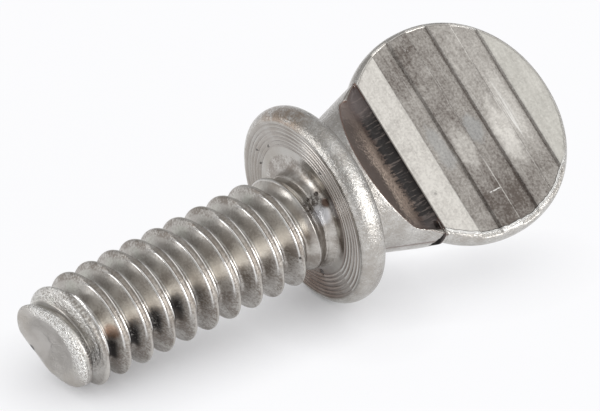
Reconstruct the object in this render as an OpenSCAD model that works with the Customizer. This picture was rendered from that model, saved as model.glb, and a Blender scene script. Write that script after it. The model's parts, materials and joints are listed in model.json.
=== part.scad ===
// Thumb screw, #6-32 by 3/8 inch, with a forged spade head.
//
// One piece of stainless wire: a shank, a bead-rimmed collar with a turned bearing face,
// a neck that widens into a round flat blade, and a ramped channel and three grooves on
// each face of the blade. The shank is drawn at the thread's outer size, and is necked
// down below the collar and tapered at its tip as the thread is.
//
// The screw is drawn upright on its own axes: +Z along the thread towards the head, X
// across the blade, Y square to the blade, with the bearing face at z = 0. It is then laid
// down as it comes to rest, on the thread near the tip and on the rim of the collar. The
// origin is where the thread's axis meets the bearing face, and +X runs towards the head.

/* [Thread] */
// Outer diameter of the thread
thread_d = 3.43; // [2.8:0.01:4.2]
// Distance from one crest to the next
thread_pitch = 0.794; // [0.5:0.001:1]
// Length of the shank below the collar
shank_l = 9.525; // [6:0.005:20]
// Length of the taper at the tip
tip_l = 1.2; // [0.5:0.05:2]
// How far the sheared end of the tip is out of square, in degrees
tip_slant = 8; // [0:1:12]

/* [Collar] */
// Outer diameter of the collar's rim
collar_d = 6.3; // [5.2:0.05:8]
// Height of the collar
collar_h = 0.87; // [0.5:0.01:1.5]
// How far the rounded rim stands out past the flat faces
rim_round = 0.3; // [0.1:0.01:0.4]
// Radius of the fillet between the shank and the bearing face
fillet_r = 0.35; // [0.1:0.01:0.5]
// How far the head is off the thread's axis, towards one edge of the blade
head_shift = 0.22; // [0:0.01:0.3]

/* [Turned rings] */
// Number of turned rings in the bearing face
ring_count = 3; // [0:1:4]
// Distance from the edge of the flat face to the outermost ring
ring_edge = 0.1; // [0.06:0.01:0.2]
// Distance from one ring to the next
ring_step = 0.25; // [0.12:0.01:0.3]
// Width of a ring
ring_w = 0.08; // [0.04:0.01:0.1]
// Depth of a ring
ring_depth = 0.04; // [0.02:0.01:0.08]

/* [Neck] */
// Diameter of the neck where it leaves the collar
neck_foot_d = 3.8; // [3:0.05:4.5]
// Diameter of the neck where it meets the blade
neck_top_d = 5.4; // [4.6:0.01:6.4]
// Length of the neck
neck_l = 2.53; // [1.8:0.01:4]
// Radius of the fillet between the collar and the neck
neck_fillet = 0.3; // [0.1:0.01:0.4]

/* [Blade] */
// Diameter of the blade
blade_d = 7; // [6.6:0.01:10]
// Thickness of the blade
blade_t = 0.8; // [0.7:0.01:1.5]
// Radius of the rounded edge of the blade
blade_round = 0.2; // [0.05:0.01:0.3]

/* [Grip] */
// Number of grooves across each face of the blade
groove_count = 3; // [1:1:3]
// Width of a groove at the face
groove_w = 0.7; // [0.3:0.01:0.9]
// Distance from one groove to the next
groove_step = 1.4; // [1:0.01:1.6]
// Depth of a groove
groove_depth = 0.14; // [0.05:0.01:0.25]
// Angle that a groove's walls lean outwards
groove_draft = 12; // [0:1:30]
// Width of the flat between the channel and the first groove
first_land = 0.93; // [0.5:0.01:1.2]

/* [Channels] */
// Angle of the ramp that each channel cuts down the neck
ramp_angle = 47.5; // [35:0.5:60]
// Distance from the foot of the ramp to the channel's end
channel_l = 0.4; // [0.3:0.01:0.6]
// Depth of the channel's bottom below the face of the blade
channel_depth = 0.16; // [0.05:0.01:0.25]
// How far the channel's end is past the top of the neck
channel_over = 0.14; // [0.1:0.01:0.5]
// Width of the channel's floor
channel_w = 4.6; // [3.5:0.05:5]
// Angle that the channel's sides lean outwards
channel_flare = 20; // [0:1:30]
// Radius at the foot of the ramp
channel_r = 0.3; // [0.1:0.05:0.6]
// Angle at which the neck's sides, left standing beside the channel, run down to the blade
side_angle = 32; // [25:1:34]

/* [Folds] */
// Depth of the fold between the neck and one edge of the blade
fold_deep = 0.38; // [0.1:0.01:0.5]
// Depth of the fold at the other edge
fold_shallow = 0.15; // [0.05:0.01:0.5]
// Width of a fold at its mouth
fold_w = 0.14; // [0.05:0.01:0.2]
// Thickness of the metal left whole under a fold, measured from the middle of the blade
fold_web = 0.1; // [0:0.01:0.3]

/* [Rest] */
// How far the blade is turned from level, about the thread's axis, as the screw lies
roll = 41; // [0:1:90]

/* [Hidden] */
$fn = 96;
eps = 0.01;

thread_r = thread_d / 2;
// Standard 60 degree thread forms: the rolled blank is at the pitch diameter.
blank_r = thread_r - 0.3248 * thread_pitch;
tip_r = thread_r - 0.4 * thread_pitch;
runout_l = thread_pitch;
plain_l = thread_pitch;

collar_r = collar_d / 2;
neck_foot_r = neck_foot_d / 2;
neck_top_r = neck_top_d / 2;
neck_top = collar_h + neck_l;

blade_r = blade_d / 2;
face = blade_t / 2;
groove_floor = face - groove_depth;
channel_floor = face - channel_depth;
// The blade's outline starts where the neck's two sides end.
blade_z = neck_top + sqrt(pow(blade_r, 2) - pow(neck_top_r, 2));

wall_z = neck_top + channel_over;
first_groove_z = wall_z + first_land + groove_w / 2;
ramp_foot_z = wall_z - channel_l;

// At rest the tip end of the thread and the rim of the collar touch the same level.
touch_z = tip_l - shank_l;
rim_drop = collar_r - head_shift * sin(roll);
lean = atan((rim_drop - thread_r) / (collar_h / 2 - touch_z));

// Points of an elliptical arc about [x, y], from angle a to angle b.
function arc(x, y, rx, ry, a, b, steps = 8) =
    [for (i = [0:steps]) let (t = a + (b - a) * i / steps) [x + rx * cos(t), y + ry * sin(t)]];

// The shank to the outer size of its thread, with its runout, plain neck and fillet.
module shank() {
    difference() {
        rotate_extrude()
            polygon(concat(
                [[0, -shank_l], [tip_r, -shank_l], [thread_r, touch_z]],
                [[thread_r, -plain_l - runout_l], [blank_r, -plain_l]],
                arc(blank_r + fillet_r, -fillet_r, fillet_r, fillet_r, 180, 90),
                [[blank_r + fillet_r, eps], [0, eps]]
            ));
        translate([tip_r, 0, -shank_l])
            rotate([0, tip_slant, 0])
                translate([-thread_d, -thread_d, -thread_d])
                    cube([2 * thread_d, 2 * thread_d, thread_d]);
    }
}

// The collar, flat on both sides with a rounded rim, and the turned rings below it.
module collar() {
    flat_r = collar_r - rim_round;
    half_h = collar_h / 2;
    outer_ring_r = flat_r - ring_edge;
    difference() {
        rotate_extrude()
            polygon(concat([[0, 0]], arc(flat_r, half_h, rim_round, half_h, -90, 90, 12), [[0, collar_h]]));
        for (i = [0:1:ring_count - 1])
            ring_cut(outer_ring_r - i * ring_step);
    }
}

module ring_cut(r) {
    rotate_extrude()
        polygon([[r - ring_w / 2, -eps], [r + ring_w / 2, -eps], [r, ring_depth]]);
}

// The round neck, wider towards the blade, with a fillet at its foot.
module neck() {
    foot_z = collar_h + neck_fillet;
    slope = (neck_top_r - neck_foot_r) / neck_l;
    foot_r = neck_foot_r + slope * neck_fillet;
    rotate_extrude()
        polygon(concat(
            [[0, collar_h - eps], [foot_r + neck_fillet, collar_h - eps]],
            arc(foot_r + neck_fillet, foot_z, neck_fillet, neck_fillet, 270, 180),
            [[neck_top_r, neck_top], [0, neck_top]]
        ));
}

// The blade, a disc on edge with its rim rounded over to both faces.
module blade() {
    translate([0, 0, blade_z])
        rotate([90, 0, 0])
            rotate_extrude()
                polygon(concat(
                    [[0, -face]],
                    arc(blade_r - blade_round, blade_round - face, blade_round, blade_round, -90, 0, 4),
                    arc(blade_r - blade_round, face - blade_round, blade_round, blade_round, 0, 90, 4),
                    [[0, face]]
                ));
}

// A cut across the blade, from a profile drawn as [distance along the screw, height].
module across(width, profile) {
    rotate([0, -90, 0])
        linear_extrude(height = width, center = true)
            polygon(profile);
}

// The channel on one face: a ramp down the neck, a rounded foot, and a bottom that curves up
// to the face of the blade.
module channel() {
    top = neck_top_r + 1;
    reach = (top - channel_floor) / tan(ramp_angle);
    spread = (top - channel_floor) * tan(channel_flare);
    half_w = channel_w / 2;
    // Where the rounded foot ends and the bottom starts to rise.
    rise_z = ramp_foot_z + channel_r * tan(ramp_angle / 2);
    intersection() {
        across(2 * (half_w + spread), concat(
            [[ramp_foot_z - reach, top]],
            arc(rise_z, channel_floor + channel_r, channel_r, channel_r, 270 - ramp_angle, 270),
            arc(rise_z, face, wall_z - rise_z, channel_depth, 270, 360),
            [[wall_z, top]]
        ));
        linear_extrude(height = 2 * wall_z)
            polygon([
                [-half_w, channel_floor], [half_w, channel_floor],
                [half_w + spread, top], [-half_w - spread, top]
            ]);
    }
}

// What is pressed off the neck's sides on one face, from the ramp down to the blade.
module side_slope() {
    top = neck_top_r + 1;
    ramp = tan(ramp_angle);
    side = tan(side_angle);
    reach = (top - channel_floor) / ramp;
    // Where the slope of the sides leaves the ramp.
    meet_z = (ramp_foot_z * ramp - neck_top * side - channel_depth) / (ramp - side);
    across(blade_d, [
        [neck_top, top], [neck_top, face],
        [meet_z, face + (neck_top - meet_z) * side], [ramp_foot_z - reach, top]
    ]);
}

// The grooves on one face, which run out through the rim of the blade.
module grip_grooves() {
    inset = groove_depth * tan(groove_draft);
    half_w = groove_w / 2;
    for (i = [0:groove_count - 1])
        translate([0, 0, first_groove_z + i * groove_step])
            across(blade_d + 1, [
                [-half_w + inset, groove_floor], [half_w - inset, groove_floor],
                [half_w, face], [half_w, face + 1], [-half_w, face + 1], [-half_w, face]
            ]);
}

// A fold where the side of the neck was pressed up against the edge of the blade.
module fold(depth) {
    inner = neck_top_r - depth / 2;
    outer = neck_top_r + depth;
    translate([0, neck_top_r, 0])
        rotate([90, 0, 0])
            linear_extrude(height = neck_top_r + fold_web)
                polygon([
                    [inner, neck_top + depth / 2],
                    [outer, neck_top - depth - fold_w],
                    [outer, neck_top - depth]
                ]);
}

module head() {
    difference() {
        union() {
            neck();
            blade();
        }
        for (side = [0, 1])
            mirror([0, side, 0]) {
                channel();
                side_slope();
                grip_grooves();
            }
        mirror([1, 0, 0])
            fold(fold_deep);
        fold(fold_shallow);
    }
}

// Lays what is drawn upright down on its side, rolled and leaning as it rests.
module laid() {
    rotate([0, -lean, 0])
        rotate([90, 0, 90])
            rotate([0, 0, roll])
                children();
}

module thumb_screw() {
    color("#b8b2a8")
        laid() {
            shank();
            translate([head_shift, 0, 0]) {
                collar();
                head();
            }
        }
}

thumb_screw();
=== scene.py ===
# %% [markdown]
# # A thumb screw in bare stainless steel
#
# The screw is one piece of wire: a thread rolled on one end, and a collar, a neck and a flat
# round blade forged on the other. It is under 19 mm long, so its looks are made of small things:
# the polish of the thread, the tooling rings under the collar, the frosted skin of pickled steel
# and the dark hollows beside the blade.
#
# The frame gives the screw's place. Everything is made upright on the screw's own axes, in
# millimetres, and is then laid down and turned into metres in one step.

# %% Load the frame
import json
import math

import bmesh
import bpy
import numpy as np
from mathutils import Matrix, Vector


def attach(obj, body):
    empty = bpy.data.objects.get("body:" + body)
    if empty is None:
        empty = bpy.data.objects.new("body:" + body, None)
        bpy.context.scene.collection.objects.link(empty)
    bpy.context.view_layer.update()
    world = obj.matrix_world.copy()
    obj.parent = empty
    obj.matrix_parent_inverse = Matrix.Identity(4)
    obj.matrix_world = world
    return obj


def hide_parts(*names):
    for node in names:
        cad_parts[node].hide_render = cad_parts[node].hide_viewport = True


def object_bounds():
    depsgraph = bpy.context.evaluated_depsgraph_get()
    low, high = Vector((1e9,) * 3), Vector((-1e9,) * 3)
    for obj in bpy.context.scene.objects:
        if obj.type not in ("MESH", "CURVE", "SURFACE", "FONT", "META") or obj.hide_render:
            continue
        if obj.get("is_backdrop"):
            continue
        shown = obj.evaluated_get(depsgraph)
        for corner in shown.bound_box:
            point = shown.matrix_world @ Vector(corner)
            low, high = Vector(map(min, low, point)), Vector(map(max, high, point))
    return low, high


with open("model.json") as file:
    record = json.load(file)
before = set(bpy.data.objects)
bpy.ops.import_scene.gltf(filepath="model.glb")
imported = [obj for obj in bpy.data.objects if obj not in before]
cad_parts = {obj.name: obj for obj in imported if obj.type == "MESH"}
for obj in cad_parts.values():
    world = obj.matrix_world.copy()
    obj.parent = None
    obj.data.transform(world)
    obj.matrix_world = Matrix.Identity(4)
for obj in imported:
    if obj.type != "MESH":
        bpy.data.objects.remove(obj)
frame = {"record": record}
low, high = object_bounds()
MM = 0.001

# %% [markdown]
# ## Sizes
#
# These are the sizes of the construction, in millimetres, and every height is measured from the
# bearing face along the thread's axis. A named size can be changed in one place.

# %% Name the sizes of the thread and the head
THREAD_R = 1.715
PITCH = 25.4 / 32
SHANK_L = 9.525
# The wire is as thick as the thread's pitch diameter, which is this many pitches in.
PITCH_LINE = 0.3248
BLANK_R = THREAD_R - PITCH_LINE * PITCH
TIP_R = 1.44
TIP_SLANT = math.radians(6)
FILLET_R = 0.35

# The head was struck a little to one side of the thread's axis.
HEAD_SHIFT = 0.22
COLLAR_R = 3.15
COLLAR_H = 0.87
RIM_ROUND = 0.30
NECK_FOOT_R = 1.894
NECK_SLOPE = 0.318
NECK_FILLET = 0.30

BLADE_Z = 5.70
BLADE_UP = 3.395
BLADE_ACROSS = 3.53
BLADE_POWER = 2.09
FACE = 0.40
WALL_Z = 3.54
GROOVES = (4.82, 6.22, 7.62)
GROOVE_W = 0.70
GROOVE_DEPTH = 0.10
GROOVE_DRAFT = 0.02
STARTS = [middle - GROOVE_W / 2 for middle in GROOVES]
ENDS = [middle + GROOVE_W / 2 for middle in GROOVES]
print("thread", 2 * THREAD_R, "mm, collar", 2 * COLLAR_R, "mm, blade", 2 * BLADE_ACROSS, "mm")

# %% [markdown]
# ## Laying the screw down
#
# The screw rests on its thread and on the collar's rim, so it leans, and the frame's mount for
# the thread says by how much. Its own axes are X across the blade, Y square to it and Z along
# the thread towards the head. One matrix rolls it about Z, turns Z to the frame's X, leans it
# and changes millimetres to metres.

# %% Work out how the screw lies
ROLL = math.radians(41)
thread_mount = next(m for m in frame["record"]["mounts"] if m["name"] == "thread")
thread_axis = Vector(thread_mount["axis"])
LEAN = math.atan2(-thread_axis.z, -thread_axis.x)
turn_down = Matrix(((0, 0, 1), (1, 0, 0), (0, 1, 0))).to_4x4()
LAID = Matrix.Rotation(-LEAN, 4, "Y") @ turn_down @ Matrix.Rotation(ROLL, 4, "Z")
TO_FRAME = LAID @ Matrix.Scale(MM, 4)
print("lean", round(math.degrees(LEAN), 2), "degrees")

# %% [markdown]
# ## Writing node trees as sums
#
# A node tree is easier to read as arithmetic. `Wire` holds one output socket, and an operator on
# it adds the Math node that works out the result, so a rule can be written as `r - depth * 2`.

# %% Define a wire
def operator(operation):
    """Makes a method that adds one Math node."""
    return lambda wire, *others: wire.math(operation, *others)


class Wire:
    """An output socket that can be used in sums."""

    def __init__(self, bench, socket):
        self.bench = bench
        self.socket = socket

    def math(self, operation, *others):
        return self.bench.add("ShaderNodeMath", {"operation": operation}, [self, *others])

    __add__ = __radd__ = operator("ADD")
    __sub__ = operator("SUBTRACT")
    __mul__ = __rmul__ = operator("MULTIPLY")
    __truediv__ = operator("DIVIDE")
    __pow__ = operator("POWER")
    __abs__ = operator("ABSOLUTE")
    sin = operator("SINE")
    cos = operator("COSINE")
    least = operator("MINIMUM")
    most = operator("MAXIMUM")
    smooth_least = operator("SMOOTH_MIN")
    smooth_most = operator("SMOOTH_MAX")

    def __rsub__(self, other):
        return (self * -1.0).math("ADD", other)

    def __neg__(self):
        return self * -1.0

    def root(self):
        return self.most(0.0).math("SQRT")

    def step(self, start, end, low=0.0, high=1.0):
        """Runs smoothly from low, where this is start, to high, where it is end."""
        return self.bench.add(
            "ShaderNodeMapRange",
            {"interpolation_type": "SMOOTHSTEP", "clamp": True},
            {"Value": self, "From Min": start, "From Max": end, "To Min": low, "To Max": high},
        )

    def fall(self, start, end):
        return self.step(start, end, 1.0, 0.0)

    def curve(self, points):
        """Reads this from a curve drawn through points, each (in, out)."""
        return self.bench.add("ShaderNodeFloatCurve", {"points": points}, {"Value": self}, "Value")


# %% [markdown]
# `Bench` holds a tree, and its one method `add` makes any other node: its type, its settings,
# and what goes into its sockets. The same two classes serve for geometry and for shaders.

# %% Define a bench
def set_points(mapping, points):
    curve = mapping.curves[0]
    while len(curve.points) < len(points):
        curve.points.new(0.5, 0.5)
    for point, place in zip(curve.points, points):
        point.location = place
        point.handle_type = "VECTOR"
    mapping.update()


class Bench:
    """A node tree that is built node by node."""

    def __init__(self, tree):
        self.tree = tree

    def find(self, sockets, key):
        if isinstance(key, int):
            return sockets[key]
        by_name = [s for s in sockets if s.enabled and s.name == key]
        by_identifier = [s for s in sockets if s.identifier == key]
        return (by_identifier or by_name)[0]

    def join(self, value, socket):
        if isinstance(value, Wire):
            self.tree.links.new(value.socket, socket)
        else:
            socket.default_value = value

    def add(self, kind, settings=None, inputs=None, out=0):
        node = self.tree.nodes.new(kind)
        for name, value in (settings or {}).items():
            if name == "points":
                set_points(node.mapping, value)
            else:
                setattr(node, name, value)
        pairs = inputs.items() if isinstance(inputs, dict) else enumerate(inputs or [])
        for key, value in pairs:
            self.join(value, self.find(node.inputs, key))
        return Wire(self, self.find(node.outputs, out)) if node.outputs else node


def bench_of(owner):
    """Empties the node tree of a material or a world, and gives its bench."""
    owner.use_nodes = True
    owner.node_tree.nodes.clear()
    return Bench(owner.node_tree)


def add_object(name, data):
    thing = bpy.data.objects.new(name, data)
    bpy.context.scene.collection.objects.link(thing)
    return thing


# %% [markdown]
# ## The rolled thread
#
# A thread could be a profile swept along a spiral, or rings with a wave in them, but both leave
# the sharp crests crossing the mesh at a slant. Here a flat grid is wrapped round the shank so
# that its rows climb by one pitch a turn. Each row then stays on one part of the profile all the
# way up, and the last column meets the first one exactly, a pitch further on.
#
# Rolling pushes metal up from both sides of a groove, and the two sides meet at the crest. This
# blank was a little oval, so the crest closed to an edge on two sides, and between them it stayed
# open, with a lip on each side of a rough seam. The tree blends the two profiles as it goes round.

# %% Choose the thread's two profiles and where its rows lie
# Each point is a distance from the crest's middle and a depth below its top, both in pitches.
CLOSED_CREST = [
    (0.000, 0.000), (0.030, 0.004), (0.060, 0.028), (0.100, 0.085), (0.130, 0.135), (0.150, 0.170),
    (0.170, 0.205), (0.210, 0.272), (0.300, 0.425), (0.390, 0.570), (0.440, 0.618), (0.500, 0.632),
]
OPEN_CREST = [
    (0.000, 0.052), (0.030, 0.050), (0.060, 0.044), (0.100, 0.024), (0.130, 0.002), (0.150, 0.004),
    (0.170, 0.036), (0.210, 0.105), (0.300, 0.262), (0.390, 0.430), (0.440, 0.530), (0.500, 0.600),
]
OPEN_AT = math.radians(98)
THREAD_ROWS = [place for place, depth in CLOSED_CREST]
THREAD_ROWS = THREAD_ROWS + [1 - row for row in reversed(THREAD_ROWS[:-1])]
ROWS_A_PITCH = len(THREAD_ROWS) - 1
COLUMNS = 176
TURNS = 14
# Where a crest crosses the screw's own X axis, as a distance from the bearing face.
CREST_Z = -0.059


def openness(angle):
    """How far the crest stands open at an angle round the screw, from 0 to 1."""
    return ((angle - OPEN_AT) * 2.0).cos().step(-0.35, 0.65)


print(ROWS_A_PITCH, "rows a pitch,", COLUMNS, "columns")

# %% [markdown]
# The first function lays the grid's rows. A point's place across the grid is its turn round the
# screw, and its place along the grid is a whole number of pitches and a phase between two crests.

# %% Wrap a grid round the shank
# Keeps a row at a whole number from falling into the turn below.
NUDGE = 0.0001


def wrapped_rows(bench, size):
    """Makes the grid, and gives each point's angle, phase and climb above the bearing face."""
    counts = {"Vertices X": COLUMNS + 1, "Vertices Y": TURNS * ROWS_A_PITCH + 1}
    grid = bench.add("GeometryNodeMeshGrid", {}, counts)
    place = bench.add("GeometryNodeInputPosition")
    turn = bench.add("ShaderNodeSeparateXYZ", {}, [place], "X") + 0.5
    count = (bench.add("ShaderNodeSeparateXYZ", {}, [place], "Y") + 0.5) * TURNS + NUDGE
    row_places = [(i / ROWS_A_PITCH, row) for i, row in enumerate(THREAD_ROWS)]
    phase = count.math("FRACT").curve(row_places)
    climb = size["Crest height"] + size["Pitch"] * (count.math("FLOOR") + phase + turn - TURNS)
    return grid, turn * math.tau, phase, climb


# %% [markdown]
# The second function cuts the profile into the shank. Seeded noise makes the crest a little
# crooked, as rolling does. Below the collar the thread runs out to the wire's own radius, and
# one low crest is left there.

# %% Cut the thread
CROOKED_BY = 0.03
RUNOUT = (-1.75 * PITCH, -0.15 * PITCH)


def rolled_radius(bench, size, angle, phase, climb):
    """The radius that rolling leaves, before the tip is shaped."""
    from_crest = phase.least(1.0 - phase)
    closed = from_crest.curve(CLOSED_CREST)
    depth = closed + (from_crest.curve(OPEN_CREST) - closed) * openness(angle)
    round_and_up = bench.add("ShaderNodeCombineXYZ", {}, [angle.cos(), angle.sin(), climb])
    crooked = bench.add(
        "ShaderNodeTexNoise", {"noise_dimensions": "4D"},
        {"Vector": round_and_up, "W": size["Seed"], "Scale": 1.3, "Detail": 3.0})
    crest = size["Outer radius"] + (crooked - 0.5) * CROOKED_BY + 0.002
    cut = crest - size["Pitch"] * depth
    return cut + (size["Blank radius"] - cut) * climb.step(*RUNOUT)


# %% [markdown]
# The third function shapes the tip. The blank's end was tapered, so the first turns are low.
# Shearing left the end oval and flat on one side, with a rolled lip round it. It could be
# sculpted, but as a rule in the height above the tip it blends into the thread.

# %% Shape the sheared end
# How full the thread is at a height above the tip, and the oval of the end.
TIP_FULLNESS = [(0.0, 0.30), (0.25, 0.42), (0.6, 0.66), (1.0, 0.86), (1.5, 1.0), (9.0, 1.0)]
OVAL_TURN = 0.49
LIP_R = 1.43
LIP_OVAL = 0.20
LIP_SHIFT = 0.08
LIP_FALL = 2.1
FLAT_SIDE_R = 1.15
END_ROUND = 0.24


def sheared_radius(size, angle, rise, threaded):
    """Draws the radius in towards the tip."""
    oval = ((angle + OVAL_TURN) * 2.0).cos()
    root_r = size["Outer radius"] - size["Pitch"] * 0.60
    lobes = oval * 0.16 * rise.fall(0.0, 1.1)
    low_turns = root_r + (threaded - root_r) * rise.curve(TIP_FULLNESS) + lobes
    lip = LIP_R + oval * LIP_OVAL - angle.cos() * LIP_SHIFT - (rise * LIP_FALL) ** 2.0
    flat_side = (FLAT_SIDE_R + rise * 0.5) / (-angle.sin()).most(0.05)
    below = END_ROUND - rise.least(END_ROUND)
    inset = END_ROUND - (END_ROUND * END_ROUND - below ** 2.0).root()
    return low_turns.smooth_most(lip, 0.12).smooth_least(flat_side, 0.1) - inset


# %% [markdown]
# The tree puts the three together. Rows that lie past the tip turn in and close the end face,
# which is dished and out of square. Points that fall on each other are merged.

# %% Build the thread's tree
END_DISH = 0.10


def open_tree(name, sizes):
    """Starts a geometry tree with a number input for each size and one mesh output."""
    tree = bpy.data.node_groups.new(name, "GeometryNodeTree")
    for size in sizes:
        tree.interface.new_socket(size, in_out="INPUT", socket_type="NodeSocketFloat")
    tree.interface.new_socket("Mesh", in_out="OUTPUT", socket_type="NodeSocketGeometry")
    bench = Bench(tree)
    given = tree.nodes.new("NodeGroupInput")
    return bench, {s.name: Wire(bench, s) for s in given.outputs if s.name}


def thread_tree(sizes, material):
    bench, size = open_tree("rolled thread", sizes)
    grid, angle, phase, climb = wrapped_rows(bench, size)
    above_tip = climb + size["Length"]
    rise = above_tip.most(0.0)
    end_fill = (1.0 - (-above_tip).most(0.0) / size["Pitch"]).most(0.0)
    height = (rise - size["Length"]).least(size["Top"])
    threaded = rolled_radius(bench, size, angle, phase, climb)
    radius = sheared_radius(size, angle, rise, threaded) * end_fill
    x = radius * angle.cos()
    y = radius * angle.sin()
    dish = (1.0 - end_fill).step(0.05, 0.6) * END_DISH
    lean_in = (size["Tip radius"] - x) * size["Tip slant"] * rise.fall(0.0, 1.4)
    place = bench.add("ShaderNodeCombineXYZ", {}, [x, y, height + dish + lean_in])
    shaped = bench.add("GeometryNodeSetPosition", {}, {"Geometry": grid, "Position": place})
    merged = bench.add("GeometryNodeMergeByDistance", {}, {"Geometry": shaped, "Distance": 0.0015})
    real = bench.add("GeometryNodeRealizeInstances", {}, [merged])
    finished = bench.add("GeometryNodeSetMaterial", {}, {"Geometry": real, "Material": material})
    result = bench.tree.nodes.new("NodeGroupOutput")
    bench.tree.links.new(finished.socket, result.inputs[0])
    return bench.tree


# %% [markdown]
# A tree runs as a modifier on an empty object. Its inputs are set by the sockets' identifiers
# before it first runs, the result is copied to a plain mesh, and the empty object goes.

# %% Run the tree and keep the thread
def mesh_from_tree(name, tree, values):
    """Runs a tree on an empty mesh and returns the plain mesh that it makes."""
    carrier = add_object(name, bpy.data.meshes.new(name))
    modifier = carrier.modifiers.new(name, "NODES")
    modifier.node_group = tree
    for socket in tree.interface.items_tree:
        if socket.item_type == "SOCKET" and socket.in_out == "INPUT":
            modifier[socket.identifier] = float(values[socket.name])
    graph = bpy.context.evaluated_depsgraph_get()
    mesh = bpy.data.meshes.new_from_object(carrier.evaluated_get(graph))
    carrier.modifiers.remove(modifier)
    bpy.data.objects.remove(carrier)
    return mesh


thread_sizes = {
    "Outer radius": THREAD_R, "Pitch": PITCH, "Length": SHANK_L, "Blank radius": BLANK_R,
    "Top": -FILLET_R, "Crest height": CREST_Z, "Tip radius": TIP_R,
    "Tip slant": math.tan(TIP_SLANT), "Seed": 3.0,
}
steel = bpy.data.materials.new("bare stainless")
thread_mesh = mesh_from_tree("thread", thread_tree(thread_sizes, steel), thread_sizes)
print("thread:", len(thread_mesh.vertices), "points,", len(thread_mesh.polygons), "faces")

# %% [markdown]
# ## The forged head
#
# The collar and neck are round, the blade is flat, and the neck runs from one into the other. It
# could be built from solids that are cut out of each other, but cuts leave long thin faces that
# show as creases in polished metal. Instead the head is a stack of closed rings, each with the
# same number of points, that joins the thread's last ring. A ring through the neck or the blade
# is as wide as the outline there, and each point's height comes from one rule, `half_thickness`,
# so ramps, grooves and the rounded rim are all real shape.
#
# The outline comes first. The neck widens steadily, and the blade is a disc that is very
# slightly squarer than a circle.

# %% Define the outline of the head
ANGLES = np.linspace(0, 2 * np.pi, COLUMNS, endpoint=False)
# Above this height the blade alone gives the outline.
NECK_END_Z = 3.44


def blend_least(a, b, k):
    """The lesser of a and b, with the corner between them rounded over a height of k."""
    h = np.clip(0.5 + 0.5 * (b - a) / k, 0, 1)
    return b + (a - b) * h - k * h * (1 - h)


def blend_most(a, b, k):
    return -blend_least(-a, -b, k)


def neck_radius(z):
    return NECK_FOOT_R + NECK_SLOPE * (z - COLLAR_H)


def blade_half_width(z):
    reach = np.clip(abs(z - BLADE_Z) / BLADE_UP, 0, 1)
    return BLADE_ACROSS * (1 - reach**BLADE_POWER) ** (1 / BLADE_POWER)


def half_width(z):
    blade = blade_half_width(z)
    return blade if z > NECK_END_Z else max(neck_radius(z), blade)


print("the neck is", round(2 * neck_radius(NECK_END_Z), 2), "mm wide where it meets the blade")

# %% [markdown]
# The thickness comes next. The blade thins to nothing round its rim, by a rule in how far inside
# its outline a point lies.

# %% Define the thickness of the blade
RIM = 0.24
RIM_POWER = 2.3


def inland(x, z):
    """How far inside the blade's outline a point lies. The material uses it as well."""
    across = (abs(x) / BLADE_ACROSS) ** BLADE_POWER
    along = (abs(z - BLADE_Z) / BLADE_UP) ** BLADE_POWER
    return (1.0 - (across + along) ** (1.0 / BLADE_POWER)) * BLADE_UP


def blade_thickness(x, z):
    """Half the blade's thickness, which falls to nothing round its edge."""
    inside = np.clip(inland(x, z) / RIM, 0, 1)
    return FACE * (1 - (1 - inside) ** RIM_POWER) ** (1 / RIM_POWER)


print("the blade is", 2 * FACE, "mm thick")

# %% [markdown]
# Beside the blade the dies pressed a hollow into the neck on each face: a ramp, steep ends, and a
# bottom that rises to the blade. Above it they pressed three grooves across the face.

# %% Define the hollows and the grooves
CHANNEL_FLOOR = 0.24
RAMP_FOOT = 3.06
RAMP_SLOPE = math.tan(math.radians(47.5))
HOLLOW_END = (2.03, 2.22)
END_SLOPE = 4.0
# The flanks that were pressed flat beside the hollow's ends.
FLANK_SLOPE = math.tan(math.radians(32))
FLANK_START = 2.1
FLANK_RISE = 1.5


def channel_height(x, z):
    """The level that the hollow beside the blade leaves."""
    ramp = CHANNEL_FLOOR + (RAMP_FOOT - z) * RAMP_SLOPE
    climb = np.clip((z - RAMP_FOOT) / (WALL_Z - RAMP_FOOT), 0, 1)
    bottom = CHANNEL_FLOOR + (FACE - CHANNEL_FLOOR) * (1 - np.sqrt(1 - climb**2 * 0.98))
    past_right = x - HOLLOW_END[0] - max(z - 2.7, 0) * 0.8
    past_left = -x - HOLLOW_END[1] - (z - 2.8) * 0.4
    ends = CHANNEL_FLOOR + np.where(x > 0, past_right, past_left) * END_SLOPE
    return blend_most(blend_most(ramp, bottom, 0.25), ends, 0.5)


def groove_height(z):
    """The level that the grooves leave, which is high above the blade between them."""
    level = 1.0
    for middle in GROOVES:
        inside = (GROOVE_W / 2 - abs(z - middle)) / GROOVE_DRAFT
        if inside >= 0:
            level = FACE - GROOVE_DEPTH * min(1, inside)
    return level


def half_thickness(x, z):
    blade = blade_thickness(x, z)
    if z >= WALL_Z:
        return blend_least(blade, groove_height(z), 0.02)
    round_neck = np.sqrt(np.clip(neck_radius(z) ** 2 - x**2, 0, None))
    flank = FACE + (WALL_Z - z) * FLANK_SLOPE + np.clip(FLANK_START - np.abs(x), 0, 1) * FLANK_RISE
    body = np.maximum(blend_least(round_neck, np.maximum(flank, FACE), 0.05), blade)
    return np.clip(blend_least(body, channel_height(x, z), 0.035), 0, None)


print("the hollow's floor is", round(FACE - CHANNEL_FLOOR, 2), "mm below the face")

# %% [markdown]
# The rings under the collar are the marks of the tool that faced it: shallow grooves in the flat,
# an uneven step apart. The fillet below the collar is centred on the thread and the rim on the
# head, and the flat's inner rings move over from one centre to the other.

# %% Lay out the round rings
TOOL_RINGS = (2.10, 2.22, 2.35, 2.50, 2.64, 2.76)
TOOL_DEPTH = 0.042
TOOL_WIDTH = 0.028
FILLET_END = BLANK_R + FILLET_R
CENTRED_R = 2.04
FLAT_R = COLLAR_R - RIM_ROUND


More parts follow.
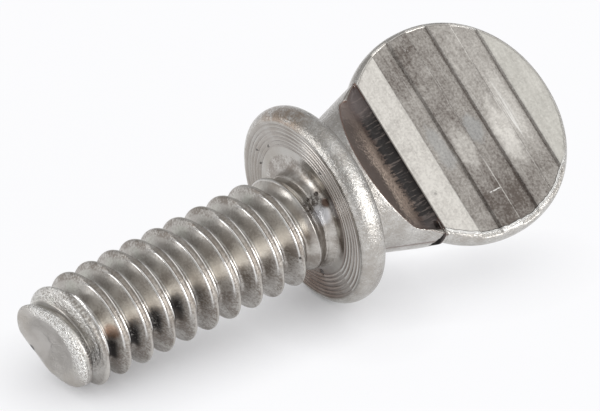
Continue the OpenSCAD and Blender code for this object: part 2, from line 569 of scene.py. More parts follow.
def round_ring(radius, z, shift):
    x = shift + radius * np.cos(ANGLES)
    return np.stack([x, radius * np.sin(ANGLES), np.full(COLUMNS, z)], 1)


def tool_mark(radius):
    return sum(TOOL_DEPTH * math.exp(-(((radius - ring) / TOOL_WIDTH) ** 2)) for ring in TOOL_RINGS)


rings = []
for angle in np.linspace(0, np.pi / 2, 9):
    radius = BLANK_R + FILLET_R * (1 - math.cos(angle))
    rings.append(round_ring(radius, FILLET_R * (math.sin(angle) - 1), 0))
for radius in [1.90, 2.00, *np.linspace(CENTRED_R, FLAT_R, 34)]:
    share = min(1, (radius - FILLET_END) / (CENTRED_R - FILLET_END))
    rings.append(round_ring(radius, tool_mark(radius), HEAD_SHIFT * share))
for angle in np.linspace(-90, 90, 23)[1:]:
    lap = math.radians(angle)
    radius = FLAT_R + RIM_ROUND * math.cos(lap)
    rings.append(round_ring(radius, COLLAR_H / 2 * (1 + math.sin(lap)), HEAD_SHIFT))
foot_z = COLLAR_H + NECK_FILLET
for angle in np.linspace(0, np.pi / 2, 7):
    radius = neck_radius(foot_z) + NECK_FILLET * (1 - math.sin(angle))
    rings.append(round_ring(radius, foot_z - NECK_FILLET * math.cos(angle), HEAD_SHIFT))
print(len(rings), "round rings")

# %% [markdown]
# From the neck's foot up, the rings lie closer where the shape turns faster. A sharp edge has a
# ring on each side of it, a hair away, so that smooth shading doesn't spread round the corner.

# %% Lay out the flat rings
HAIR = 0.012
TOP_Z = BLADE_Z + BLADE_UP


def flat_ring(z):
    x = half_width(z) * np.cos(ANGLES)
    side = np.sign(np.round(np.sin(ANGLES), 9))
    return np.stack([HEAD_SHIFT + x, side * half_thickness(x, z), np.full(COLUMNS, z)], 1)


def span(start, end, step):
    return list(np.linspace(start, end, max(2, round((end - start) / step) + 1)))[:-1]


heights = span(foot_z + 0.05, 1.40, 0.1) + span(1.40, 2.80, 0.035) + span(2.80, WALL_Z, 0.02)
heights += [WALL_Z, WALL_Z + HAIR, WALL_Z + 0.03]
last = WALL_Z + 0.1
for start, end in zip(STARTS, ENDS):
    heights += span(last, start - HAIR, 0.12)
    heights += [start - HAIR, start, start + GROOVE_DRAFT, start + GROOVE_DRAFT + HAIR]
    heights += span(start + 0.12, end - GROOVE_DRAFT - HAIR, 0.12)
    heights += [end - GROOVE_DRAFT - HAIR, end - GROOVE_DRAFT, end, end + HAIR]
    last = end + 0.1
heights += span(last, TOP_Z - 0.5, 0.1)
heights += [TOP_Z - 0.5 * (1 - math.sin(a)) for a in np.linspace(0, np.pi / 2, 14)]
rings += [flat_ring(z) for z in heights]
print(len(rings), "rings of", COLUMNS, "points")

# %% [markdown]
# The steel was folded where the neck's side was pressed against the edge of the blade, which
# left a dark slit at one edge and a small nick at the other. A cut would be ragged, so the slit
# is drawn in: the points on its line move inwards, and those beside it less.

# %% Press in the folds
# Where the slit starts and ends on the edge, each as (height, distance from the middle plane).
FOLD_TOP = (3.41, 0.48)
FOLD_FOOT = (3.34, -0.20)
FOLD_GAPE = 0.095


def fold_line(y):
    """How far down the slit y lies, from 0 to 1, and the height of the slit's middle there."""
    share = (FOLD_TOP[1] - y) / (FOLD_TOP[1] - FOLD_FOOT[1])
    return share, FOLD_TOP[0] + (FOLD_FOOT[0] - FOLD_TOP[0]) * share


def press_fold(points, side, depth, gape):
    """Presses a wedge-shaped slit into one edge, widest at its foot."""
    out = (points[:, :, 0] - HEAD_SHIFT) * side
    share, middle = fold_line(points[:, :, 1])
    half = 0.02 + gape * np.clip(share, 0, 1)
    inside = np.clip(1.3 - np.abs(points[:, :, 2] - middle) / half, 0, 1)
    inside = inside * (share > -0.05) * (share < 1.15)
    points[:, :, 0] -= side * depth * inside * np.clip((out - 1.9) / 0.7, 0, 1)


points = np.array(rings)
press_fold(points, -1, 0.38, FOLD_GAPE)
press_fold(points, 1, 0.10, 0.03)
print("two folds pressed in")

# %% [markdown]
# ## One mesh
#
# The head's rings are joined by strips of four-sided faces and merged with the thread, because
# the real screw is one piece. The thread's last points are drawn together in the middle of the
# end face. The mesh itself is laid down, so its object stays at the origin, unturned. Where the
# thread meets the fillet, a few hairline edges don't close, so they are counted and printed.

# %% Join the thread and the head
# Points of the end face that lie this near its middle become one.
END_MIDDLE = 0.03


def add_rings(mesh, stack):
    rows = [[mesh.verts.new(p) for p in ring] for ring in stack]
    for under, over in zip(rows, rows[1:]):
        for i in range(COLUMNS):
            j = (i + 1) % COLUMNS
            mesh.faces.new((under[i], under[j], over[j], over[i]))


shape = bmesh.new()
shape.from_mesh(thread_mesh)
add_rings(shape, points)
middle = [v for v in shape.verts if v.co.z < -9 and v.co.xy.length < END_MIDDLE]
bmesh.ops.pointmerge(shape, verts=middle, merge_co=middle[0].co.copy())
bmesh.ops.remove_doubles(shape, verts=shape.verts, dist=0.0012)
bmesh.ops.recalc_face_normals(shape, faces=shape.faces)
open_edges = sum(1 for edge in shape.edges if len(edge.link_faces) != 2)
for face in shape.faces:
    face.smooth = True
screw_mesh = bpy.data.meshes.new("thumb screw")
shape.to_mesh(screw_mesh)
shape.free()
screw_mesh.transform(TO_FRAME)
screw_mesh.materials.clear()
screw_mesh.materials.append(steel)
screw = add_object("rolled_and_forged_screw", screw_mesh)
triangles = sum(len(p.vertices) - 2 for p in screw_mesh.polygons)
print("screw:", triangles, "triangles,", open_edges, "edges that aren't between two faces")

# %% [markdown]
# ## Bare stainless steel
#
# Steel is almost all reflection, so its look comes from its roughness, from small bumps that tip
# the reflections about, and from thin films that tint them. Each finish of the real screw is a
# cell below. It has a mask, worked out from the place on the screw, and changes the colour,
# roughness and height that the cells before it left. Separate materials would meet in hard lines,
# where masks run into each other.

# %% Find the place on the screw's own axes
metal = bench_of(steel)
own = metal.add(
    "ShaderNodeMapping", {"vector_type": "POINT"},
    {"Vector": metal.add("ShaderNodeTexCoord", {}, {}, "Object"),
     "Rotation": LAID.to_3x3().transposed().to_euler("XYZ"), "Scale": (1 / MM,) * 3},
)
x, y, z = (metal.add("ShaderNodeSeparateXYZ", {}, [own], axis) for axis in "XYZ")
off = x - HEAD_SHIFT
head_r = (off * off + y * y).root()
turn = y.math("ARCTAN2", x) / math.tau
degrees = turn * 360.0
print("own axes ready")

# %% [markdown]
# The ways to make a mask get names. `within` is a band with soft edges, `sector` is such a band
# in degrees round the screw, and `spot` is a dot at one place. `mix` mixes two colours, `lay` lays
# one over the colour so far, and `blend` mixes two numbers.

# %% Define the ways to make a mask and to lay a finish
def noise(scale, detail=4.0, rough=0.55, vector=own):
    sockets = {"Vector": vector, "Scale": scale, "Detail": detail, "Roughness": rough}
    return metal.add("ShaderNodeTexNoise", {}, sockets)


def stretched(a, b, c):
    return metal.add("ShaderNodeVectorMath", {"operation": "MULTIPLY"}, [own, (a, b, c)])


def mix(factor, a, b):
    sockets = {"Factor_Float": factor, "A_Color": a, "B_Color": b}
    return metal.add("ShaderNodeMix", {"data_type": "RGBA"}, sockets, "Result_Color")


def lay(mask, finish):
    """Lays a colour over what the cells before this one left."""
    global colour
    colour = mix(mask, colour, finish)


def blend(factor, a, b):
    """Goes from the number or wire a to b as factor goes from 0 to 1."""
    return a + (b - a) * factor


def within(value, start, end, soft):
    """Is 1 where value lies between start and end, with edges that are soft wide."""
    half = soft / 2
    return value.step(start - half, start + half) * value.fall(end - half, end + half)


def sector(start, end, soft):
    return within(degrees, start, end, soft)


def spot(place, reach):
    """Is 1 at a place on the screw, and 0 from reach away."""
    away = metal.add("ShaderNodeVectorMath", {"operation": "DISTANCE"}, [own, place], "Value")
    return away.fall(reach * 0.45, reach)


def tell(finish):
    print(finish + ":", len(steel.node_tree.nodes), "nodes so far")


# %% [markdown]
# Every finish draws on the same few textures, from clouds a millimetre across to grain finer
# than a hair, so that a stain and the bumps under it belong together. The colours are those of
# stainless steel under different films, and most are near grey.

# %% Set out the textures and the colours that the finishes share
cloud = noise(0.8, 3.0)
mottle = noise(1.7, 5.0, 0.6)
grain = noise(14.0, 3.0, 0.6)
fine = noise(34.0, 2.0, 0.6)
# Mottle and grain, swinging either side of nothing.
blotch = mottle - 0.5
grit = grain - 0.5
hammer = metal.add(
    "ShaderNodeTexVoronoi", {"feature": "SMOOTH_F1"},
    {"Vector": own, "Scale": 7.5, "Smoothness": 0.35}, "Distance")

BRIGHT = (0.88, 0.87, 0.84, 1)
POLISHED = (0.80, 0.79, 0.77, 1)
CLEAN = (0.60, 0.575, 0.535, 1)
SATIN = (0.56, 0.54, 0.51, 1)
GREENISH = (0.49, 0.49, 0.44, 1)
BLUISH = (0.36, 0.37, 0.37, 1)
FILM = (0.315, 0.280, 0.248, 1)
RUST = (0.34, 0.19, 0.12, 1)
BROWN = (0.15, 0.105, 0.085, 1)
SOOT = (0.12, 0.10, 0.09, 1)
BLACK = (0.018, 0.015, 0.014, 1)
tell("shared textures")

# %% [markdown]
# ### The rolled thread
#
# Rolling dies leave the roots smooth and the lips of each crest bright, with a dull seam between
# the lips. Grease and pickling leave a brown-grey film on the flanks. Light and shade are painted
# on the flanks in bands at fixed angles round the screw: a lighter greenish tone, a lighter band, a
# painted highlight and a darker band. The phase is worked out as in the thread's tree, so each
# colour falls on its own part of the profile.

# %% Finish the thread
FLANK_FILM = (0.275, 0.243, 0.215, 1)
THICK_FILM = (0.25, 0.22, 0.20, 1)
SEAM = (0.30, 0.265, 0.23, 1)
# A whole number of turns that keeps the count above zero.
WELL_UP = 40.0

phase = ((z - CREST_Z) / PITCH - turn + WELL_UP).math("FRACT")
from_crest = phase.least(1.0 - phase)
on_thread = z.fall(-1.1, -0.5)
open_side = openness(turn * math.tau)
lip = within(from_crest, 0.115, 0.17, 0.03) * open_side * on_thread
edge = from_crest.fall(0.02, 0.06) * (1.0 - open_side) * on_thread
seam = from_crest.fall(0.09, 0.13) * open_side * on_thread
flank = from_crest.step(0.16, 0.22) * on_thread
film = (mottle + grit * 1.1 + (fine - 0.5) * 0.5).step(0.30, 0.68)

colour = mix(film, SATIN, FLANK_FILM)
tinted = mix(mottle.step(0.4, 0.6), GREENISH, SATIN)
# Painted light: a lighter greenish tone on the flanks on one side of the screw.
lay(flank * sector(-40.0, 50.0, 20.0) * 0.6, tinted)
lay(edge * 0.8, CLEAN)
lay(lip * 0.9, POLISHED)
lay(seam * (0.35 + grain * 0.6), SEAM)
# Painted light and shade on the flanks at fixed angles: a lighter band, a painted highlight, then a
# darker band.
lay(flank * sector(50.0, 92.0, 24.0) * 0.55, SATIN)
lay(flank * sector(96.0, 122.0, 16.0) * 0.72, CLEAN)
lay(flank * sector(150.0, 178.0, 20.0) * (0.15 + mottle * 0.4), THICK_FILM)
roughness = blend(lip, 0.36 + blotch * 0.16 + seam * 0.06, 0.13)
height = fine * 0.0012 + grain * 0.0030 + seam * (grain * 0.016 + noise(9.0, 2.0) * 0.012)
tell("thread")

# %% [markdown]
# Black dirt stays in the roots of the first turns, on the side that is hard to wipe, with a ring
# of thin grease round it and one speck of rust. It lies further round the nearer the tip it is.

# %% Dirty the roots of the first turns
GREASE = (0.17, 0.135, 0.11, 1)
# Below this height the dirt moves round the screw, by this many degrees a millimetre.
TURNING_Z = -5.2
TURNING = 5.0

underneath = degrees + (z - TURNING_Z).least(0.0) * TURNING
greasy = within(underneath, 106.0, 160.0, 30.0) * from_crest.step(0.16, 0.30)
greasy = greasy * z.fall(-5.8, -3.6)
lay(greasy * (0.25 + grit * 1.2 + blotch), GREASE)

dirt_start = 116.0 + grit * 40.0
dirt_end = 150.0 + blotch * 30.0
dirty = within(underneath, dirt_start, dirt_end, 16.0) * from_crest.step(0.22, 0.36)
dirty = dirty * (z + blotch * 2.0).fall(-6.0, -4.2)
dirty = dirty * (grain * 0.6 + mottle * 0.6).step(0.36, 0.54) * z.step(-9.0, -8.8)
first_groove = sector(100.0, 158.0, 16.0) * from_crest.step(0.30, 0.42)
first_groove = first_groove * within(z, -9.15, -8.60, 0.10)
dirty = dirty.most(first_groove * (grain + blotch * 0.4).step(0.40, 0.56) * 0.8)
lay(spot((-0.70, 1.25, -7.95), 0.34) * 0.55, RUST)
lay(dirty, BLACK)
roughness = blend(dirty, roughness, 0.7)
tell("dirt")

# %% [markdown]
# The first two crests never filled the die, so they are battered and catch the light in small
# bright dents.

# %% Batter the first crests
battered = z.fall(-8.75, -8.25) * from_crest.fall(0.24, 0.38)
lay(battered * grain.step(0.42, 0.58) * 0.8, BRIGHT)
height = height + battered * (noise(12.0, 3.0, 0.7) * 0.045 + grain * 0.014)
tell("battered crests")

# %% [markdown]
# ### The sheared end
#
# The end was sheared off and then rolled over, so its middle is a smooth grey dish and its lip
# is scuffed, with one small dark chip. On one side the scuffed lip carries bright flecks of
# painted highlight.

# %% Finish the end
END_GREY = (0.46, 0.43, 0.39, 1)
DISH_DARK = (0.40, 0.38, 0.355, 1)
DISH_LIGHT = (0.47, 0.45, 0.425, 1)

from_end = z + SHANK_L - (TIP_R - x) * math.tan(TIP_SLANT)
end_face = from_end.fall(0.10, 0.26)
from_axis = (x * x + y * y).root()
dished = end_face * (from_axis + (cloud - 0.5) * 0.6).fall(0.85, 1.10)
lay(end_face, mix(mottle.step(0.3, 0.7), END_GREY, SATIN))
lay(dished, mix(mottle.step(0.35, 0.65), DISH_DARK, DISH_LIGHT))
scuffed = end_face * (1.0 - dished) * y.step(0.1, 0.7)
# Partly real scuffing, partly painted highlight: bright flecks on one side of the lip.
lay(scuffed * (0.15 + grain.step(0.40, 0.52) * 0.85), BRIGHT)
roughness = blend(end_face, roughness, blend(scuffed, 0.30, 0.20))
height = height + scuffed * noise(14.0, 3.0, 0.7) * 0.040 + end_face * grain * 0.004
lay(spot((0.36, -0.98, -9.33), 0.17), BLACK)
tell("sheared end")

# %% [markdown]
# ### The collar's underside
#
# The tool that faced the collar left it smooth near the thread and ringed towards the rim. The
# rings are real grooves in the mesh, and a brown film lies in them. On one side the flat is
# painted lighter, the ridges carry painted highlights and the groove lines are darker as painted
# shade. A painted dark reflection lies on part of the fillet's foot, and painted shade darkens
# the lower part.

# %% Finish the underside of the collar
PLAIN_LIGHT = (0.46, 0.445, 0.42, 1)
PLAIN_DARK = (0.39, 0.365, 0.33, 1)
RUBBED = (0.66, 0.64, 0.61, 1)
OLD_OIL = (0.13, 0.095, 0.08, 1)

underside = within(z, -0.06, 0.07, 0.04) * within(head_r, 1.80, 2.86, 0.06)
ringed = underside * head_r.step(1.98, 2.12)
round_the_collar = metal.add("ShaderNodeCombineXYZ", {}, [head_r, turn * 0.5, 0.0])
turned = noise(11.0, 2.0, 0.5, round_the_collar)
lay(underside, mix(cloud.step(0.35, 0.65), PLAIN_LIGHT, PLAIN_DARK))
lay(ringed * (0.32 + blotch * 0.8 + (turned - 0.5) * 1.2), FILM)
# Painted dark reflection on part of the fillet's foot.
oiled = within(head_r + blotch * 0.3, 1.88, 2.12, 0.10)
lay(oiled * sector(84.0, 165.0, 20.0) * underside * 0.7, OLD_OIL)

# Painted light on one side: a lighter flat, darker groove lines as painted shade, and ridge
# highlights.
rubbed_side = sector(55.0, 190.0, 60.0)
lay(ringed * rubbed_side * 0.30, RUBBED)
for ring in TOOL_RINGS:
    line = within(head_r, ring - 0.030, ring + 0.030, 0.03) * underside
    lay(line * (0.12 + rubbed_side * 0.55) * (0.4 + mottle), BROWN)
    ridge = within(head_r, ring + 0.045, ring + 0.085, 0.03) * underside
    lay(ridge * rubbed_side * 0.6, BRIGHT)
# Painted shade: the lower part of the underside is darkened brown.
shaded = sector(-168.0, -100.0, 40.0) * underside
lay(shaded * (0.35 + mottle * 0.8), BROWN)
roughness = blend(underside, roughness, blend(ringed, 0.14, 0.24))
height = height + underside * turned * 0.006
tell("underside")

# %% [markdown]
# Between the underside and the first full turn the shank is bare wire, polished by the dies,
# with a faint pair of lines where the last crest ran out.

# %% Finish the shank below the collar
shank = within(z, -1.1, -0.06, 0.2)
lay(shank * 0.7, mix(mottle.step(0.35, 0.7), CLEAN, FILM))
height = height + shank * noise(9.0, 2.0, 0.5, stretched(0.15, 0.15, 1.0)) * 0.008
faint = within(z, -1.3, -0.6, 0.3) * within(from_crest, 0.07, 0.13, 0.05)
lay(faint * (0.2 + mottle * 0.8), POLISHED)
height = height + faint * 0.010
tell("shank")

# %% [markdown]
# ### Where the forged skin lies
#
# The rim of the collar, the neck and the blade's edge keep the skin that the forging dies and
# the pickling bath left. The blade's faces were pressed clean, and the line between the two
# wanders round the rim, most of all along the lower edge.

# %% Mark out the forged skin and the blade's faces
bead = z.step(-0.05, 0.0) * z.fall(0.95, 1.10) * head_r.step(2.84, 2.92)
collar_top = z.step(0.70, 0.80) * z.fall(0.95, 1.15)
on_blade = z.step(WALL_Z - 0.02, WALL_Z)
neck = z.step(0.85, 0.95) * z.fall(WALL_Z - 0.02, WALL_Z)

edge_wave = (noise(2.2, 3.0, 0.6) - 0.5) * 0.12 + grit * 0.05
lower_edge = x.fall(-2.4, -1.7)
margin = inland(off, z) + edge_wave * (0.35 + lower_edge * 0.65) - lower_edge * 0.06
face = on_blade * margin.step(0.13, 0.18) * abs(y).step(0.18, 0.22)
skin = bead.most(collar_top).most(neck).most(on_blade * (1.0 - face))
tell("skin's mask")

# %% [markdown]
# ### Frosted forged skin
#
# The skin is beaten into small dents that glitter, so it has three sizes of bump: the dents, the
# roughness in them and a fine grain. The bottoms of the dents carry painted glints. The collar's
# rim also has a brown stain on one side and a thin film on another.

# %% Finish the forged skin
FROST_LIGHT = (0.66, 0.645, 0.615, 1)
FROST_DARK = (0.47, 0.445, 0.41, 1)
DARK_GRAIN = (0.30, 0.28, 0.26, 1)
TAN_STAIN = (0.32, 0.235, 0.17, 1)

frost = mix((mottle + grit * 0.8).step(0.32, 0.66), FROST_LIGHT, FROST_DARK)
lay(skin, frost)
# Painted glints: the bottoms of the dents are brightened.
lay(skin * (1.0 - hammer.step(0.10, 0.30)) * 0.35, BRIGHT)
lay(skin * grain.fall(0.34, 0.44) * 0.55, DARK_GRAIN)
roughness = blend(skin, roughness, 0.20 + grit * 0.12)
height = height + skin * (hammer * 0.008 + noise(16.0, 3.0, 0.7) * 0.020 + fine * 0.005)

lay(bead * sector(148.0, 190.0, 30.0) * (mottle + 0.1) * 0.5, FILM)
stain = bead * sector(14.0, 50.0, 14.0) * (mottle + grit * 0.5).step(0.30, 0.55)
lay(stain * z.fall(0.45, 0.60) * 0.70, TAN_STAIN)
tell("skin")

# %% [markdown]
# ### The dark hollows
#
# Each hollow beside the blade was shielded from the pickling bath, so it keeps its brown oxide.
# A painted bronze highlight with painted glints lies along the middle of the ramp's foot, and
# painted shade turns the corner under the blade's edge black, with black streaks running from
# it. A point is in the hollow where it lies below the neck and the pressed flank, so the colour
# stops where the shape does.

# %% Finish the hollows
OXIDE_LOW = (0.086, 0.057, 0.047, 1)
OXIDE_HIGH = (0.075, 0.053, 0.045, 1)
OXIDE_GRAIN = (0.050, 0.038, 0.033, 1)
BRONZE = (0.42, 0.325, 0.265, 1)
BRONZE_SPECK = (0.80, 0.68, 0.58, 1)
WORN_OXIDE = (0.26, 0.215, 0.205, 1)
RED_BRINK = (0.17, 0.095, 0.07, 1)

neck_reach = (neck_radius(z) ** 2.0 - off * off).root()
flank_lift = (FLANK_START - abs(off)).most(0.0) * FLANK_RISE
flank_reach = FACE + (WALL_Z - z) * FLANK_SLOPE + flank_lift
sunk = neck_reach.least(flank_reach) - abs(y)
above_foot = z.step(1.2, 1.3)
hollow = neck * sunk.step(0.015, 0.035) * above_foot

speckled = z + blotch + grit * 1.4 + (fine - 0.5) * 0.8
# Painted highlight: a bronze band along the ramp's foot, with painted glints.
glow = within(speckled, 2.35, 2.95, 0.55) * abs(x + 0.2).step(0.8, 2.0, 1.0, 0.25)
oxide = mix(speckled.step(1.5, 2.5), OXIDE_LOW, OXIDE_HIGH)
oxide = mix(glow * 0.9, oxide, BRONZE)
oxide = mix(glow * grain.step(0.54, 0.62) * 0.8, oxide, BRONZE_SPECK)
oxide = mix(grain.step(0.36, 0.48, 0.75, 0.0), oxide, OXIDE_GRAIN)
streaks = noise(4.0, 3.0, 0.7, stretched(3.2, 1.0, 0.35))
# Painted shade: the corner under the blade's edge is darkened to black in streaks.
corner = (z + (streaks - 0.5) * 1.1 + grit * 0.5).step(2.92, 3.17)
oxide = mix(corner, oxide, mix(streaks.step(0.36, 0.48), SOOT, BLACK))
oxide = mix(abs(x).step(1.5, 2.3) * 0.45, oxide, WORN_OXIDE)
lay(hollow, oxide)
brink = neck * within(sunk, 0.012, 0.085, 0.03) * above_foot
lay(brink * 0.8, RED_BRINK)
roughness = blend(hollow, roughness, 0.30 + corner * 0.3)
height = height * (1.0 - hollow) + hollow * (grain * 0.010 + streaks * 0.008)
tell("hollows")

# %% [markdown]
# ### The blade's faces
#
# The die rubbed along the grooves that it pressed, so everything on the face is drawn out that
# way. The strip next to the neck was rubbed clean, and the rest keeps a brown-grey film with
# blued patches, and the face is darker towards its lower edge. A painted reflection lies across
# the front face in soft patches. One number, the lightness, says how light the steel is painted.
# Each strip and each patch changes it, and it is turned to colour last.

# %% Work out how light the blade's faces are
BARE_SHADE = 0.33
# From where to where a strip runs, and how much cleaner it is.
STRIPS = (
    (ENDS[0], STARTS[1], -0.05), (STARTS[1], ENDS[1], -0.03),
    (ENDS[1], STARTS[2], 0.14), (STARTS[2], ENDS[2], 0.16),
)
# Each patch of painted reflection: its middle across and along, its half sizes, and how much
# lighter it is.
WORN = (
    ((-0.35, 5.50, 0.80, 0.34), 0.32), ((-0.45, 6.95, 1.10, 0.40), 0.38),
    ((0.20, 7.60, 1.50, 0.28), 0.22), ((0.00, 4.85, 0.90, 0.28), 0.10),
    ((2.40, 5.20, 0.80, 0.80), -0.10),
)


def patch(middle_x, middle_z, half_x, half_z, ragged=1.0):
    """A soft-edged patch on the blade, for blued patches, a rubbed line and the painted reflection.
    """
    reach = (((x - middle_x) / half_x) ** 2.0 + ((z - middle_z) / half_z) ** 2.0).root()
    return (reach + blotch * ragged * 2.0).fall(0.55, 1.15)


drawn = noise(3.2, 4.0, 0.65, stretched(0.22, 1.0, 2.6))
scored = noise(6.0, 3.0, 0.7, stretched(0.12, 1.0, 4.5))
front = y.step(-0.1, 0.1)
top_strip = z.step(7.95, 8.0)
shade = BARE_SHADE + z.step(STARTS[0] - 0.03, STARTS[0] + 0.03, 0.54, 0.0) + top_strip * 0.42
for start, end, cleaner in STRIPS:
    shade = shade + within(z, start, end, 0.04) * cleaner
# Darker towards the lower edge.
lower_film = (-x).step(0.6, 2.2) * z.step(4.9, 5.3) * z.fall(7.9, 8.0)
shade = shade - lower_film * 0.21
# Painted reflection: soft lighter patches on the front face.
for place, cleaner in WORN:
    shade = shade + front * patch(*place) * cleaner
shade = shade + blotch * 0.50 + grit * 0.85
shade = shade + (drawn - 0.5) * 0.50 + (fine - 0.5) * 0.35
tell("shade")

# %% [markdown]
# The lightness is now turned to colour. Two patches are blued, and long scores catch the light.
# The foot of one wall of each groove gets a line of painted shade, and the other wall's edge
# broken lines of painted highlight. The back has the same strips and film, without the patches
# of painted reflection.

# %% Finish the blade's faces
FILMED = (0.120, 0.101, 0.089, 1)
WORN_CLEAN = (0.67, 0.645, 0.60, 1)
BURNISHED = (0.80, 0.77, 0.72, 1)

strip = mix(shade.most(0.0).least(1.0), FILMED, WORN_CLEAN)
strip = mix(top_strip * 0.35, strip, GREENISH)
strip = mix(front * patch(0.05, 4.85, 0.75, 0.28) * 0.4, strip, BLUISH)
strip = mix(front * patch(0.10, 6.20, 0.55, 0.33) * 0.5, strip, BLUISH)
rubbed_line = front * patch(0.20, 7.45, 1.20, 0.14, 0.3) * scored.step(0.45, 0.60)
strip = mix(rubbed_line * 0.6, strip, BRIGHT)
strip = mix(scored.step(0.58, 0.76) * z.step(4.4, 4.5) * 0.20, strip, BRIGHT)
# Painted shade: a brown line at the foot of one wall of each groove.
for wall, strength in zip(ENDS, (0.15, 0.40, 0.35)):
    foot = within(z, wall - 0.040, wall - 0.015, 0.02)
    strip = mix(foot * (strength + blotch * 0.8), strip, BROWN)
# Painted highlight: broken bright lines along the other wall's edge.
burnish = (scored * 0.5 + drawn * 0.5).step(0.44, 0.60) * 0.75
for wall in STARTS:
    ragged_z = z + grit * 0.05 + blotch * 0.04
    strip = mix(within(ragged_z, wall - 0.035, wall + 0.02, 0.03) * burnish, strip, BURNISHED)

lay(face, strip)
roughness = blend(face, roughness, 0.30 + (drawn - 0.5) * 0.12)
height = height * (1.0 - face) + face * (scored * 0.004 + drawn * 0.005 + grain * 0.006)
tell("blade's faces")

# %% [markdown]
# Bare steel marks easily. A short scratch, a nick and a rub lie on the front face, and the lower
# edge of each face has a thin bright burr where the die squeezed metal over it.

# %% Scratch the face and raise the burr
scratch = within(x + grit * 0.06, -1.930, -1.900, 0.02) * within(z, 5.45, 5.81, 0.1)
scratch = scratch * grain.step(0.38, 0.5)
scratch = scratch.most(spot((-1.89, 0.38, 6.14), 0.07))
scratch = scratch.most(spot((3.05, 0.38, 5.53), 0.12) * grain.step(0.48, 0.62) * 0.7)
lay(scratch * front * 0.9, BRIGHT)
burr = on_blade * within(margin, 0.11, 0.19, 0.03) * lower_edge * abs(y).step(0.2, 0.25)
lay(burr * 0.85, BRIGHT)
height = height + burr * 0.03
tell("scratches and burr")

# %% [markdown]
# ### The fold
#
# The inside of the fold is painted black.
# The mask follows the line that was pressed into the mesh, and reaches a little past it.

# %% Blacken the fold
share, fold_z = fold_line(y)
fold_half = share.most(0.0) * FOLD_GAPE + 0.012
fold = (abs(z - (fold_z + grit * 0.03)) / fold_half).fall(1.20, 1.35)
fold = fold * within(share, -0.10, 1.32, 0.04) * (-off).step(2.2, 2.35)
lay(fold, BLACK)
roughness = blend(fold, roughness, 0.8)
tell("fold")

# %% [markdown]
# ### Small marks
#
# A used screw has pits, a scuff beside a rubbed place below the collar, and a dull spot on the
# clean strip. Noise would scatter them evenly, so each is placed one by one.

# %% Add the small marks
PIT = (0.06, 0.05, 0.045, 1)
DULL_SPOT = (0.25, 0.24, 0.22, 1)
RUBBED_WHITE = (0.78, 0.78, 0.80, 1)
PITS = (
    ((2.37, 0.26, 0.0), 0.07), ((2.57, -0.49, 0.0), 0.055), ((2.21, -0.75, 0.0), 0.06),
    ((2.25, 2.33, 0.69), 0.07), ((0.18, 1.54, -0.12), 0.08), ((0.56, 2.18, 0.0), 0.06),
    ((-1.51, -1.04, 0.0), 0.13), ((-1.26, 1.10, -1.47), 0.07),
)
pits = spot(*PITS[0])
for pit in PITS[1:]:
    pits = pits.most(spot(*pit))
lay(pits * 0.85, PIT)
height = height - pits * 0.03
lay(spot((-1.17, 0.40, 3.83), 0.13) * grain.step(0.40, 0.62), DULL_SPOT)

scuff = spot((-0.08, 1.50, -0.40), 0.50) * noise(10.0, 3.0, 0.7).step(0.48, 0.56)
lay(scuff * 0.8, SOOT)
height = height + scuff * 0.02
lay(spot((-0.43, 1.40, -0.27), 0.40) * 0.8, RUBBED_WHITE)
lay(spot((-0.20, 1.63, -0.05), 0.20), BROWN)
print(len(PITS), "pits and a scuff")

# %% [markdown]
# ### The finished steel
#
# The heights go to one Bump node, in millimetres, and colour and roughness to a metallic
# surface. Dirt and thick oxide aren't metal, so there, and in the black fold, the surface is
# mostly not metallic.

# %% Put the steel together
bump = metal.add("ShaderNodeBump", {}, {"Height": height, "Distance": MM, "Strength": 1.0})
not_metal = dirty.most(fold).most(hollow)
surface = metal.add(
    "ShaderNodeBsdfPrincipled", {},
    {"Base Color": colour, "Metallic": blend(not_metal, 1.0, 0.25), "Roughness": roughness,
     "Normal": bump},
)
metal.add("ShaderNodeOutputMaterial", {}, {"Surface": surface})
print("steel:", len(steel.node_tree.nodes), "nodes")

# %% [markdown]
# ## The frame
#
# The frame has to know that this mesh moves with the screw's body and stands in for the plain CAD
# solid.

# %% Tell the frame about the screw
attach(screw, "root")
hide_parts("thumb_screw")
print("rolled_and_forged_screw stands for thumb_screw")

# %% [markdown]
# ## Floor
#
# The screw lies on white paper. Lighting paper to white would burn the screw out, so the camera
# and the steel's reflections see it glow, while the light that it throws back is that of plain
# paper. Close to the screw, as Ambient Occlusion tells, the lit paper shows and keeps its shadow.

# %% Lay the floor
FLOOR_REACH = 0.6
SHADOW_REACH = 2.6 * MM
MOST_GLOW = 0.96

floor_z = low[2]
corners = [(-1, -1), (1, -1), (1, 1), (-1, 1)]
floor_mesh = bpy.data.meshes.new("floor")
floor_mesh.from_pydata(
    [(a * FLOOR_REACH, b * FLOOR_REACH, floor_z) for a, b in corners], [], [(0, 1, 2, 3)])
floor = add_object("floor", floor_mesh)

paper = bpy.data.materials.new("white paper")
bench = bench_of(paper)
place = bench.add("ShaderNodeTexCoord", {}, {}, "Object")
fibres = bench.add("ShaderNodeTexNoise", {}, {"Vector": place, "Scale": 90.0})
paper_colour = bench.add(
    "ShaderNodeMix", {"data_type": "RGBA"},
    {"Factor_Float": fibres, "A_Color": (0.86, 0.865, 0.885, 1), "B_Color": (0.88, 0.885, 0.90, 1)},
    "Result_Color")
lit = bench.add("ShaderNodeBsdfDiffuse", {}, {"Color": paper_colour})
white = bench.add("ShaderNodeEmission", {}, {"Color": (0.985, 0.985, 1.0, 1), "Strength": 1.0})
by_camera, by_gloss, by_glass = (
    bench.add("ShaderNodeLightPath", {}, {}, "Is " + ray + " Ray")
    for ray in ("Camera", "Glossy", "Transmission"))
seen = by_camera.most(by_gloss).most(by_glass)
open_sky = bench.add("ShaderNodeAmbientOcclusion", {"samples": 8}, {"Distance": SHADOW_REACH}, "AO")
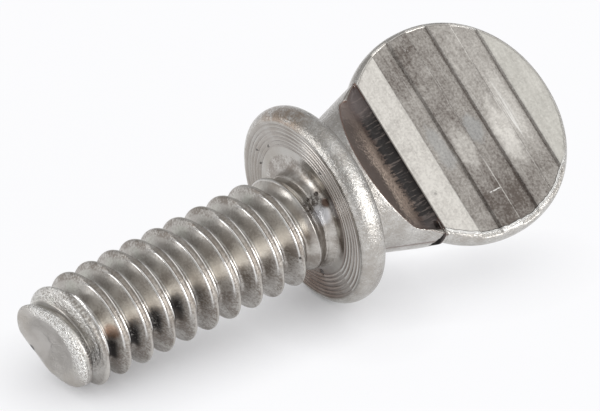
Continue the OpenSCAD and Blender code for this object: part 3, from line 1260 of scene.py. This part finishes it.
both = bench.add("ShaderNodeMixShader", {}, [seen * open_sky * MOST_GLOW, lit, white])
bench.add("ShaderNodeOutputMaterial", {}, {"Surface": both})
floor_mesh.materials.append(paper)
floor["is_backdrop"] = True
print("floor at", round(floor_z / MM, 2), "mm")

# %% [markdown]
# ## Light
#
# Metal shows its surroundings, so the lights are area lamps, large enough to be seen in it, with
# a grey room between them. The right-hand one makes the long shine down the thread and the rim,
# the left-hand one lifts the other side, and the one above lights the blade's face.

# %% Set the lights
def direction(azimuth, elevation):
    """The way to look, in degrees round from the frame's Y and up from level."""
    a, e = math.radians(azimuth), math.radians(elevation)
    return Vector((math.sin(a) * math.cos(e), math.cos(a) * math.cos(e), math.sin(e)))


def soft_box(name, azimuth, elevation, distance, size, brightness):
    """A square lamp aimed at the screw, with the brightness of its surface where white is 1."""
    data = bpy.data.lights.new(name, "AREA")
    data.shape = "RECTANGLE"
    data.size, data.size_y = size
    data.energy = brightness * math.pi * size[0] * size[1]
    lamp = add_object(name, data)
    away = direction(azimuth, elevation)
    lamp.location = away * distance
    lamp.rotation_euler = away.to_track_quat("Z", "Y").to_euler()


soft_box("right", 157, 14, 0.30, (0.24, 0.145), 4.6)
soft_box("left", -70, 20, 0.30, (0.15, 0.15), 3.0)
soft_box("above", 132, 60, 0.30, (0.28, 0.26), 0.70)

world = bpy.data.worlds.new("studio")
bpy.context.scene.world = world
bench = bench_of(world)
room = bench.add("ShaderNodeBackground", {}, {"Color": (0.48, 0.48, 0.485, 1), "Strength": 1.0})
bench.add("ShaderNodeOutputWorld", {}, {"Surface": room})
print(len(bpy.data.lights), "lamps and a grey room")

# %% [markdown]
# ## Camera
#
# A long lens keeps the near and far ends of a small thing nearly the same size. The camera is
# set by where it looks, from which side, how high and how far away, because those can be changed
# one at a time.

# %% Place the camera
LOOK_AT = Vector((-1.669, -1.947, 1.770)) * MM
CAMERA_AZIMUTH = 36.25
CAMERA_ELEVATION = 28.70
CAMERA_ROLL = math.radians(0.578)
CAMERA_DISTANCE = 256.4 * MM

camera_data = bpy.data.cameras.new("camera")
camera_data.sensor_width = 36.0
camera_data.lens = 526.0
camera_data.clip_start = 0.01
camera_data.clip_end = 10.0
camera = add_object("camera", camera_data)
forward = direction(CAMERA_AZIMUTH, -CAMERA_ELEVATION)
aim = forward.to_track_quat("-Z", "Y").to_matrix() @ Matrix.Rotation(CAMERA_ROLL, 3, "Z")
camera.location = LOOK_AT - forward * CAMERA_DISTANCE
camera.rotation_euler = aim.to_euler()
bpy.context.scene.camera = camera
bpy.context.scene.view_settings.view_transform = "Standard"
print("camera", round(CAMERA_DISTANCE / MM), "mm away")

# %% [markdown]
# ## The visual box
#
# The finished mesh has to fill the CAD model's box closely, so its box is printed in millimetres.

# %% Print the visual box
low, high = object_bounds()
print("visual box in mm:", [[round(v / MM, 2) for v in corner] for corner in (low, high)])
